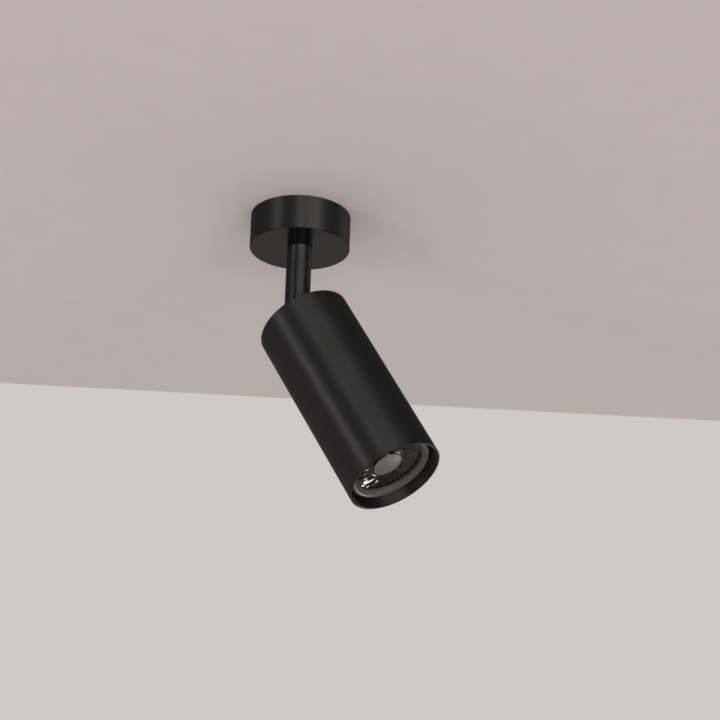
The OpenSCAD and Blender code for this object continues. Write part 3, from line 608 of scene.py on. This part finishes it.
def circling(tree, place, centre, axis):
    """The direction round an axis at each place, along which a lathe leaves its fine lines."""
    offset = tree.nodes.new("ShaderNodeVectorMath")
    offset.operation = "SUBTRACT"
    offset.inputs[1].default_value = centre
    tree.links.new(place, offset.inputs[0])
    round_it = tree.nodes.new("ShaderNodeVectorMath")
    round_it.operation = "CROSS_PRODUCT"
    round_it.inputs[1].default_value = axis
    tree.links.new(offset.outputs[0], round_it.inputs[0])
    to_world = tree.nodes.new("ShaderNodeVectorTransform")
    to_world.vector_type = "VECTOR"
    to_world.convert_from, to_world.convert_to = "OBJECT", "WORLD"
    tree.links.new(round_it.outputs[0], to_world.inputs[0])
    return to_world.outputs[0]


print("turned lines can circle any axis")

# %% A maker for finishes


def finish(name, colour, other, roughness, spread, pattern=COATED, grain=1500, bump=0.1, depth=0.05,
           specks=None, turned_round=None, **shader_values):
    material = bpy.data.materials.new(name)
    material.use_nodes = True
    tree = material.node_tree
    shader = tree.nodes["Principled BSDF"]
    coordinates = tree.nodes.new("ShaderNodeTexCoord")
    surface = tree.nodes.new("ShaderNodeGroup")
    surface.node_tree = pattern
    surface.inputs[1].default_value = grain
    tree.links.new(coordinates.outputs["Object"], surface.inputs["Vector"])

    blend = tree.nodes.new("ShaderNodeMix")
    blend.data_type = "RGBA"
    blend.inputs["A"].default_value = (*colour, 1)
    blend.inputs["B"].default_value = (*other, 1)
    tree.links.new(surface.outputs["Mottle"], blend.inputs["Factor"])
    shade = blend.outputs["Result"]
    if specks:
        dusted = tree.nodes.new("ShaderNodeMix")
        dusted.data_type = "RGBA"
        dusted.inputs["B"].default_value = (*specks, 1)
        tree.links.new(shade, dusted.inputs["A"])
        tree.links.new(surface.outputs["Specks"], dusted.inputs["Factor"])
        shade = dusted.outputs["Result"]
    tree.links.new(shade, shader.inputs["Base Color"])

    rough = ranged(tree, surface.outputs["Mottle"], 0, 1, roughness - spread, roughness + spread)
    tree.links.new(rough, shader.inputs["Roughness"])
    relief = tree.nodes.new("ShaderNodeBump")
    relief.inputs["Strength"].default_value = bump
    relief.inputs["Distance"].default_value = depth * MM
    tree.links.new(surface.outputs["Height"], relief.inputs["Height"])
    tree.links.new(relief.outputs["Normal"], shader.inputs["Normal"])
    if turned_round:
        tree.links.new(circling(tree, coordinates.outputs["Object"], *turned_round), shader.inputs["Tangent"])
    for title, value in shader_values.items():
        shader.inputs[title.replace("_", " ")].default_value = value
    return material


def wear(piece, material):
    if piece.material_slots:
        for slot in piece.material_slots:
            slot.material = material
    else:
        piece.data.materials.append(material)


def wear_where(piece, material, test):
    """Adds a second finish for the faces whose middle and normal pass the test."""
    piece.data.materials.append(material)
    for face in piece.data.polygons:
        if test(face.center, face.normal):
            face.material_index = len(piece.data.materials) - 1


print("finishes start from the pattern", COATED.name, "or", TURNED.name)

# %% [markdown]
# ## Black finish
# On the real light each window shows as a long upright streak, where a plain satin coat would show a round
# highlight. Metal with fine lines turned into it does this, because it scatters light across its lines and
# hardly along them. So the gloss is anisotropic, and its direction runs round the axis: the vertical one for
# the canopy, collar and stem, and the tube's own for the head. The canopy's underside and lower edge and the
# tube's front lip are smoother and mirror what is near them, so their faces get a second finish.

# %% Finish the black pieces


def satin_black(name, centre, axis):
    return finish(name, (0.0036, 0.0036, 0.0038), (0.0048, 0.0047, 0.0050), 0.48, 0.02, grain=1400, bump=0.14,
                  depth=0.03, specks=(0.020, 0.019, 0.019), turned_round=(centre, axis), Anisotropic=0.9,
                  Anisotropic_Rotation=0.25, Specular_IOR_Level=1.0)


MOUTH_WARD = HEAD.to_3x3() @ Vector((0, 0, 1))
upright_black = satin_black("satin_black_upright", (0, 0, 0), (0, 0, 1))
head_black = satin_black("satin_black_head", PIVOT, MOUTH_WARD)
for piece in (canopy, collar, nodes["stem"]):
    wear(piece, upright_black)
for piece in (tube, nodes["tongue"], nodes["rear_plate"]):
    wear(piece, head_black)

smooth_black = finish("satin_black_smooth", (0.0040, 0.0040, 0.0042), (0.0050, 0.0049, 0.0051), 0.17, 0.02,
                      grain=1400, bump=0.05, depth=0.02, specks=(0.020, 0.019, 0.019),
                      Specular_IOR_Level=0.30)
wear_where(canopy, smooth_black, lambda at, normal: normal.z < -0.02)
wear_where(tube, smooth_black, lambda at, normal: normal.dot(MOUTH_WARD) > 0.05)
print("painted:", [p.name for p in (canopy, collar, tube)] + ["stem", "tongue", "rear_plate"])

# %% [markdown]
# ## Metals
# The fixings, springs and contacts keep their measured solids and only need a finish. Pressed steel gets the
# coated pattern with a fine grain, like zinc plating, and screws, nuts and pins get the turned one.

# %% Make the metals
zinc = finish("zinc_plated_steel", (0.60, 0.61, 0.63), (0.50, 0.50, 0.49), 0.34, 0.07,
              grain=2600, bump=0.12, depth=0.02, Metallic=1.0)
black_oxide = finish("black_oxide_steel", (0.035, 0.035, 0.038), (0.06, 0.058, 0.056), 0.38, 0.06,
                     grain=2500, bump=0.1, depth=0.02, Metallic=0.9)
turned_zinc = finish("turned_steel", (0.62, 0.62, 0.63), (0.48, 0.48, 0.48), 0.3, 0.06,
                     pattern=TURNED, grain=7000, bump=0.2, depth=0.02, Metallic=1.0)
brass = finish("brass", (0.70, 0.50, 0.21), (0.58, 0.39, 0.15), 0.3, 0.07,
               pattern=TURNED, grain=5000, bump=0.15, depth=0.02, Metallic=1.0)
heat_sink = finish("turned_aluminium", (0.72, 0.72, 0.73), (0.60, 0.60, 0.61), 0.34, 0.06,
                   pattern=TURNED, grain=5200, bump=0.22, depth=0.03, Metallic=1.0)
print("metals:", [metal.name for metal in (zinc, black_oxide, turned_zinc, brass, heat_sink)])

# %% [markdown]
# ## Plastics, rubber, ceramic and boards
# These differ mostly in colour, roughness and the size of their grain. The dark points in the ceramic, the
# solder points of the boards and the crystals of the phosphor are the pattern's specks in another colour.

# %% Make the plastics and the rest
white_plastic = finish("white_moulded_plastic", (0.76, 0.76, 0.73), (0.70, 0.70, 0.67), 0.42, 0.04,
                       grain=2200, bump=0.12, depth=0.03)
nylon = finish("dark_nylon", (0.020, 0.020, 0.021), (0.028, 0.028, 0.028), 0.5, 0.05,
               grain=2600, bump=0.12, depth=0.03)
clear_nylon = finish("natural_nylon", (0.66, 0.62, 0.50), (0.58, 0.54, 0.43), 0.44, 0.05,
                     grain=1800, bump=0.1, depth=0.03)
rubber = finish("black_rubber", (0.022, 0.021, 0.021), (0.034, 0.033, 0.032), 0.68, 0.06,
                grain=1800, bump=0.25, depth=0.04)
ceramic = finish("glazed_ceramic", (0.78, 0.74, 0.66), (0.70, 0.66, 0.58), 0.32, 0.06,
                 grain=900, bump=0.2, depth=0.05, specks=(0.45, 0.38, 0.30))
mask_green = finish("green_circuit_board", (0.012, 0.10, 0.035), (0.02, 0.15, 0.05), 0.3, 0.06,
                    grain=900, bump=0.2, depth=0.04, specks=(0.72, 0.70, 0.66))
parts_black = finish("moulded_components", (0.018, 0.020, 0.022), (0.035, 0.036, 0.038), 0.4, 0.08,
                     grain=1800, bump=0.15, depth=0.03)
mask_white = finish("white_circuit_board", (0.80, 0.80, 0.77), (0.74, 0.74, 0.71), 0.36, 0.05,
                    grain=1300, bump=0.12, depth=0.03, specks=(0.72, 0.60, 0.34))
phosphor = finish("yellow_phosphor", (0.85, 0.66, 0.12), (0.80, 0.58, 0.08), 0.5, 0.06,
                  grain=1200, bump=0.25, depth=0.05, specks=(0.92, 0.80, 0.30))
INSULATION = {"grain": 1600, "bump": 0.1, "depth": 0.03}
brown = finish("brown_insulation", (0.16, 0.065, 0.028), (0.13, 0.052, 0.022), 0.4, 0.05, **INSULATION)
blue = finish("blue_insulation", (0.025, 0.12, 0.42), (0.02, 0.095, 0.35), 0.4, 0.05, **INSULATION)
print("materials so far:", len(bpy.data.materials))

# %% [markdown]
# Each finish is now put on the measured solids that wear it. One table says which, so that no piece is
# forgotten and a finish is easy to exchange.

# %% Put the finishes on
WEARS = {
    zinc: ["mounting_plate", "holder_bracket"],
    turned_zinc: [
        "terminal_screws", "block_screw", "earth_screw", "stop_pin", "spring_washer", "swivel_nut",
        "tongue_screws", "holder_screws", "head_earth_screw", "lamp_pins",
    ],
    black_oxide: ["canopy_screws", "tilt_screws"],
    brass: ["terminal_clamps", "friction_washers", "holder_contacts"],
    white_plastic: ["terminal_block", "lamp_base"],
    nylon: ["thrust_washer"],
    clear_nylon: ["friction_ring"],
    rubber: ["grommet"],
    ceramic: ["lampholder"],
    heat_sink: ["lamp_shell"],
    mask_green: ["driver_board"],
    parts_black: ["driver_parts"],
    mask_white: ["led_board"],
    phosphor: ["led_chip"],
}
for material, names in WEARS.items():
    for name in names:
        wear(nodes[name], material)
print("finished nodes:", sum(len(names) for names in WEARS.values()))

# %% [markdown]
# ## Earth lead
# The earth lead's insulation is green with a yellow stripe. A stripe that follows the lead would need
# coordinates along it. A diagonal wave through Object coordinates is enough here, as the lead is thin and
# nearly hidden.

# %% Stripe the earth lead
earth = finish("earth_insulation", (0.05, 0.26, 0.04), (0.04, 0.21, 0.035), 0.4, 0.05, **INSULATION)
tree = earth.node_tree
shader = tree.nodes["Principled BSDF"]
green = shader.inputs["Base Color"].links[0].from_socket
wave = tree.nodes.new("ShaderNodeTexWave")
wave.bands_direction = "DIAGONAL"
wave.inputs["Scale"].default_value = 75
coordinates = tree.nodes["Texture Coordinate"]
tree.links.new(coordinates.outputs["Object"], wave.inputs["Vector"])
striped = tree.nodes.new("ShaderNodeMix")
striped.data_type = "RGBA"
striped.inputs["B"].default_value = (0.72, 0.56, 0.03, 1)
tree.links.new(green, striped.inputs["A"])
tree.links.new(ranged(tree, wave.outputs["Fac"], 0.5, 0.6), striped.inputs["Factor"])
tree.links.new(striped.outputs["Result"], shader.inputs["Base Color"])
for piece, (node, number) in leads.items():
    wear(piece, (brown, blue, earth)[number])
print("stripes on:", [p.name for p, (_, number) in leads.items() if number == 2])

# %% [markdown]
# ## Lamp finishes
# The bezel is grey plastic with a soft sheen. The facets and the cone are the clear moulding's mirror-bright
# back, seen through it, so they are made as dark mirrors that throw back the room. The disc's face is the
# same moulding with a fine frosting, and outside it the disc's rim is a mirror again.

# %% Finish the lamp
DISC_FACE_R = 8.75 * MM

grey = finish("grey_bezel_plastic", (0.080, 0.077, 0.075), (0.094, 0.090, 0.087), 0.36, 0.04,
              grain=2400, bump=0.1, depth=0.02)
wear(bezel, grey)
mirror = finish("lens_mirror", (0.060, 0.058, 0.057), (0.040, 0.039, 0.038), 0.08, 0.02,
                grain=700, bump=0.03, depth=0.02, Metallic=1.0)
wear(facets, mirror)
frosted = finish("lens_frosted", (0.170, 0.164, 0.160), (0.135, 0.130, 0.127), 0.38, 0.04,
                 grain=1500, bump=0.08, depth=0.02)
wear(disc, frosted)
from_head = HEAD.inverted()
wear_where(disc, mirror, lambda at, normal: (from_head @ at).xy.length > DISC_FACE_R)
wear(cone, mirror)
print("lamp finishes:", grey.name, mirror.name, frosted.name)

# %% [markdown]
# ## Ceiling and floor
# The light hangs from a ceiling, so a pale ceiling is part of the stage, and a pale floor lies below. Both
# are see-through from behind, so a view from above isn't blocked.

# %% A plaster that is clear from behind


def plaster(name, colour, other):
    material = finish(name, colour, other, 0.8, 0.05, grain=260, bump=0.12, depth=0.4)
    tree = material.node_tree
    output = tree.nodes["Material Output"]
    facing = tree.nodes.new("ShaderNodeNewGeometry")
    clear = tree.nodes.new("ShaderNodeBsdfTransparent")
    choice = tree.nodes.new("ShaderNodeMixShader")
    tree.links.new(facing.outputs["Backfacing"], choice.inputs[0])
    tree.links.new(tree.nodes["Principled BSDF"].outputs[0], choice.inputs[1])
    tree.links.new(clear.outputs[0], choice.inputs[2])
    tree.links.new(choice.outputs[0], output.inputs["Surface"])
    return material


print("the stage's back faces will be clear")

# %% [markdown]
# The ceiling has a round opening that the canopy covers, so it starts as a circle whose edge is extruded
# outwards. It is then cut off where the room's wall begins. It casts no shadow and stays out of reflections:
# the black sides show no pale ceiling in the photograph, and light from over its level still arrives.

# %% Build the ceiling
OPENING_R = 29.8 * MM
CEILING_SPREAD = 60
CEILING_EDGE = Vector((0.2938, 0.1071, 0))
EDGE_NORMAL = Vector((0.85685, 0.51557, 0))

start_clean()
bpy.ops.mesh.primitive_circle_add(vertices=ROUND, radius=OPENING_R, fill_type="NOTHING")
ceiling = named("ceiling")
edit(ceiling)
bpy.ops.mesh.select_mode(type="EDGE")
bpy.ops.mesh.select_all(action="SELECT")
bpy.ops.mesh.extrude_region_move()
bpy.ops.transform.resize(value=(CEILING_SPREAD, CEILING_SPREAD, 1), center_override=(0, 0, 0))
bpy.ops.mesh.select_all(action="SELECT")
bpy.ops.mesh.normals_make_consistent(inside=False)
bpy.ops.mesh.bisect(plane_co=CEILING_EDGE, plane_no=EDGE_NORMAL, clear_outer=True)
bpy.ops.mesh.select_all(action="SELECT")
if bmesh.from_edit_mesh(ceiling.data).faces[:][0].normal.z > 0:
    bpy.ops.mesh.flip_normals()
leave_edit()
wear(ceiling, plaster("ceiling_plaster", (0.930, 0.858, 0.848), (0.915, 0.844, 0.834)))
ceiling.visible_shadow = False
ceiling.visible_glossy = False
print("ceiling faces:", len(ceiling.data.polygons), "pointing", round(ceiling.data.polygons[0].normal.z, 2))

# %% [markdown]
# The floor lies far enough below to stay out of the picture. Its pale colour sends light back up to the
# ceiling and the canopy's underside.

# %% Build the floor
FLOOR_SIZE = 5
FLOOR_Z = -1.1

start_clean()
bpy.ops.mesh.primitive_plane_add(size=FLOOR_SIZE, location=(0, 0, FLOOR_Z))
floor = named("floor")
wear(floor, plaster("pale_floor", (0.60, 0.58, 0.57), (0.58, 0.56, 0.55)))
print("floor is", FLOOR_SIZE, "m wide at", FLOOR_Z, "m")

# %% [markdown]
# ## Room
# The room is the world's colour, and the Light Path node tells three uses of it apart: a pale wall where the
# camera looks or looks through something clear, a plain soft light for surfaces that scatter it, and a dim
# grey in reflections, because the part of the room that the black metal mirrors was darker than the wall.

# %% Colour the room
world = bpy.data.worlds.new("room")
bpy.context.scene.world = world
world.use_nodes = True
tree = world.node_tree
tree.nodes.clear()
output = tree.nodes.new("ShaderNodeOutputWorld")
path = tree.nodes.new("ShaderNodeLightPath")


def background(colour, strength=1.0):
    made = tree.nodes.new("ShaderNodeBackground")
    made.inputs["Color"].default_value = (*colour, 1)
    made.inputs["Strength"].default_value = strength
    return made.outputs[0]


def chosen(factor, first, second):
    choice = tree.nodes.new("ShaderNodeMixShader")
    tree.links.new(factor, choice.inputs[0])
    tree.links.new(first, choice.inputs[1])
    tree.links.new(second, choice.inputs[2])
    return choice.outputs[0]


soft_light = background((1.0, 0.98, 0.96), 0.70)
wall = background((0.624, 0.585, 0.583))
mirrored = background((0.085, 0.083, 0.082))
looks = maths(tree, "MAXIMUM", path.outputs["Is Camera Ray"], path.outputs["Is Transmission Ray"])
room = chosen(path.outputs["Is Glossy Ray"], chosen(looks, soft_light, wall), mirrored)
tree.links.new(room, output.inputs["Surface"])
print("backgrounds in the world:", sum(node.type == "BACKGROUND" for node in tree.nodes))

# %% [markdown]
# ## Windows
# The streaks on the black cylinders say where the windows were: a streak at some angle round a cylinder
# mirrors a window at about twice that angle, and its width gives the window's. Each is an area lamp, sized in
# degrees as it is seen from the light, and hidden from the camera. The last lamp is small and stands near,
# above the floor. It shows only in reflections, where the lens's facets flash with it.

# %% Light the windows
MIDDLE = Vector((0, -0.035, -0.09))
LAMP_DISTANCE = 6
LAMP_COLOUR = (1, 0.98, 0.95)
to_camera = Vector((CAMERA_PLACE[0], CAMERA_PLACE[1], 0)).normalized()
to_right = to_camera.cross(Vector((0, 0, -1)))


def lamp(name, azimuth, elevation, wide, tall, brightness, distance=LAMP_DISTANCE):
    """A soft light, sized in degrees; azimuth is measured from the camera's side, positive to its right."""
    width, height = (2 * distance * math.tan(math.radians(angle / 2)) for angle in (wide, tall))
    a, e = math.radians(azimuth), math.radians(elevation)
    away = (to_camera * math.cos(a) + to_right * math.sin(a)) * math.cos(e) + Vector((0, 0, math.sin(e)))
    data = bpy.data.lights.new(name, "AREA")
    data.shape = "RECTANGLE"
    data.size, data.size_y = width, height
    data.color = LAMP_COLOUR
    data.energy = brightness * math.pi * width * height
    made = bpy.data.objects.new(name, data)
    facing = away.to_track_quat("Z", "Y").to_matrix().to_4x4()
    made.matrix_world = Matrix.Translation(MIDDLE + away * distance) @ facing
    made.visible_camera = False
    bpy.context.scene.collection.objects.link(made)
    return made


lamp("right_window", 30, -10, 30, 20, 4.5)
lamp("near_window", 0, -10, 18, 20, 4.7)
lamp("left_window", -54, -18, 14, 20, 7.7)
lamp("right_wall", 50, 10, 30, 20, 0.2)
flash = lamp("behind_window", 128, -31, 10, 8, 16, distance=1.6)
flash.visible_diffuse = False
print("to the camera's right:", [round(v, 3) for v in to_right])

# %% [markdown]
# ## Colour management
# The Standard view shows each colour as it was written.

# %% Finish
bpy.context.scene.view_settings.view_transform = "Standard"
